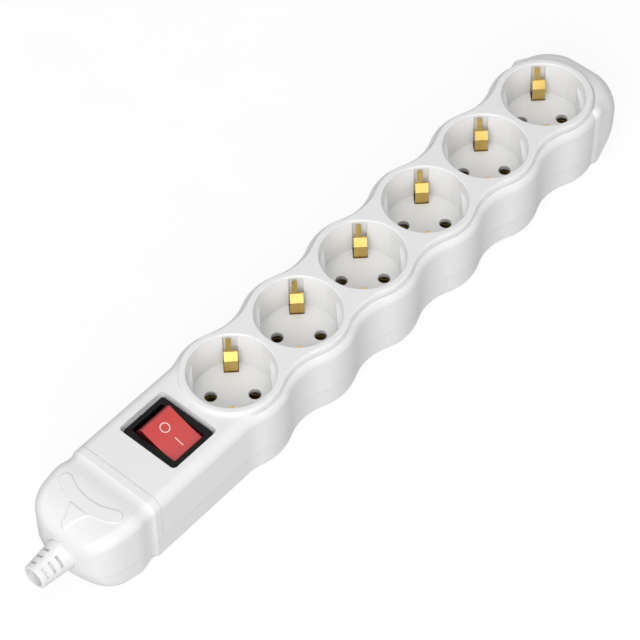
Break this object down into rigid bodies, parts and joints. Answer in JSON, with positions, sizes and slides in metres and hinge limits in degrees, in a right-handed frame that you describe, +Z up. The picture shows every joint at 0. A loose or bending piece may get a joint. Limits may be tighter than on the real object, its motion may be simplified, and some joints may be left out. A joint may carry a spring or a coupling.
{
  "type": "power strip",
  "caption": "Long white mains power strip with a row of round earthed sockets in a wave-edged body, a lit red rocker switch and a slotted cord boot.",
  "frame": {"origin": "middle of the strip's bounding box, on the surface that it stands on", "axes": "+X from the cord end to the tail, +Y across the strip, +Z up out of the sockets"},
  "size_m": [0.3672, 0.0522, 0.0376],
  "materials": {
    "white_housing": "satin white moulded plastic",
    "white_base": "satin white moulded plastic",
    "boot": "soft white plastic",
    "clear_nylon": "natural nylon",
    "screw_steel": "zinc plated",
    "switch_black": "glossy black",
    "rocker_red": "translucent red",
    "plunger_nylon": "natural nylon",
    "spring_steel": "bright drawn wire",
    "lamp_glass": "clear glass",
    "brass": "rolled sheet",
    "lead_live": "brown insulation",
    "lead_neutral": "blue insulation",
    "lead_earth": "green and yellow insulation"
  },
  "bodies": {
    "housing": {"upper_housing": "white_housing", "base_tray": "white_base", "end_cover": "white_housing", "cord_boot": "boot", "cord_clamp": "clear_nylon", "clamp_screws": "screw_steel", "housing_screws": "screw_steel", "cover_screws": "screw_steel", "terminal_block": "clear_nylon", "terminal_cages": "brass", "terminal_screws": "screw_steel", "switch_frame": "switch_black", "switch_blades": "brass", "switch_lamp": "lamp_glass", "live_bus_bar": "brass", "neutral_bus_bar": "brass", "earth_bus_bar": "brass", "live_lead_in": "lead_live", "neutral_lead_in": "lead_neutral", "live_lead_out": "lead_live", "neutral_lead_out": "lead_neutral", "earth_lead": "lead_earth", "live_clip_1": "brass", "neutral_clip_1": "brass", "earth_clip_1": "brass", "live_clip_2": "brass", "neutral_clip_2": "brass", "earth_clip_2": "brass", "live_clip_3": "brass", "neutral_clip_3": "brass", "earth_clip_3": "brass", "live_clip_4": "brass", "neutral_clip_4": "brass", "earth_clip_4": "brass", "live_clip_5": "brass", "neutral_clip_5": "brass", "earth_clip_5": "brass", "live_clip_6": "brass", "neutral_clip_6": "brass", "earth_clip_6": "brass"},
    "rocker": {"switch_rocker": "rocker_red", "switch_plungers": "plunger_nylon", "plunger_springs": "spring_steel"},
    "contacts": {"contact_levers": "brass"}
  },
  "joints": [
    {"name": "rocker_tilt", "type": "hinge", "parent": "housing", "child": "rocker", "pos_m": [-0.1027, 0, 0.0276], "axis": [1, 0, 0], "range_deg": [-36, 0]},
    {"name": "contact_rock", "type": "hinge", "parent": "housing", "child": "contacts", "pos_m": [-0.1027, 0, 0.0216], "axis": [1, 0, 0], "range_deg": [0, 16]}
  ],
  "couplings": [
    {"joint": "contact_rock", "follows": "rocker_tilt", "ratio": -0.44444}
  ]
}
